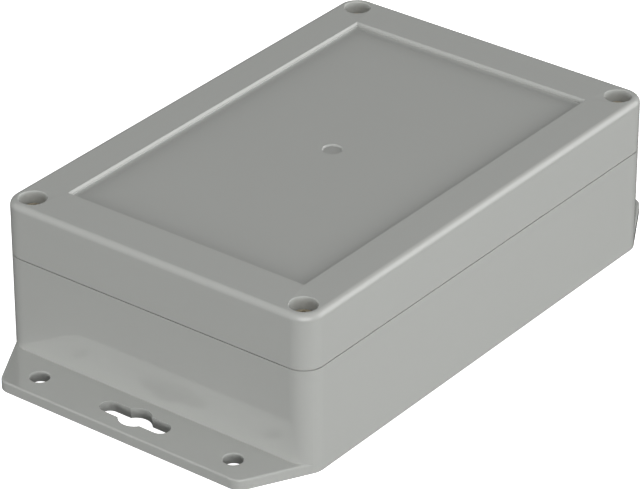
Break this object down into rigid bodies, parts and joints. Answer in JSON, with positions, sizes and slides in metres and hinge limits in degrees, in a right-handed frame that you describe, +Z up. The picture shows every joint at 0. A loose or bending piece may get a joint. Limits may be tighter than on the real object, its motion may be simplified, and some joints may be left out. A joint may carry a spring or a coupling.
{
  "type": "plastic project box",
  "caption": "Sealed plastic enclosure for a circuit board, with a screwed lid that has a label recess, and two flanges with round and keyhole holes for a wall.",
  "frame": {"origin": "middle of the underside, in the plane that the base and its flanges rest on", "axes": "+X along the box from flange to flange, +Y across it, +Z up through the lid"},
  "size_m": [0.18, 0.1, 0.046],
  "materials": {
    "housing": "fine satin, light grey",
    "seal": "matt black",
    "screw": "plain steel with a warm tint",
    "insert": "plain brass"
  },
  "bodies": {
    "base": {"base": "housing", "threaded_insert_1": "insert", "threaded_insert_2": "insert", "threaded_insert_3": "insert", "threaded_insert_4": "insert"},
    "lid": {"lid": "housing", "lid_seal": "seal"},
    "screw_1": {"lid_screw_1": "screw"},
    "screw_2": {"lid_screw_2": "screw"},
    "screw_3": {"lid_screw_3": "screw"},
    "screw_4": {"lid_screw_4": "screw"}
  },
  "joints": [
    {"name": "lid_lift", "type": "slide", "parent": "base", "child": "lid", "axis": [0, 0, 1], "range_m": [0, 0.06]},
    {"name": "screw_1_out", "type": "slide", "parent": "lid", "child": "screw_1", "axis": [0, 0, 1], "range_m": [0, 0.02]},
    {"name": "screw_2_out", "type": "slide", "parent": "lid", "child": "screw_2", "axis": [0, 0, 1], "range_m": [0, 0.02]},
    {"name": "screw_3_out", "type": "slide", "parent": "lid", "child": "screw_3", "axis": [0, 0, 1], "range_m": [0, 0.02]},
    {"name": "screw_4_out", "type": "slide", "parent": "lid", "child": "screw_4", "axis": [0, 0, 1], "range_m": [0, 0.02]}
  ]
}
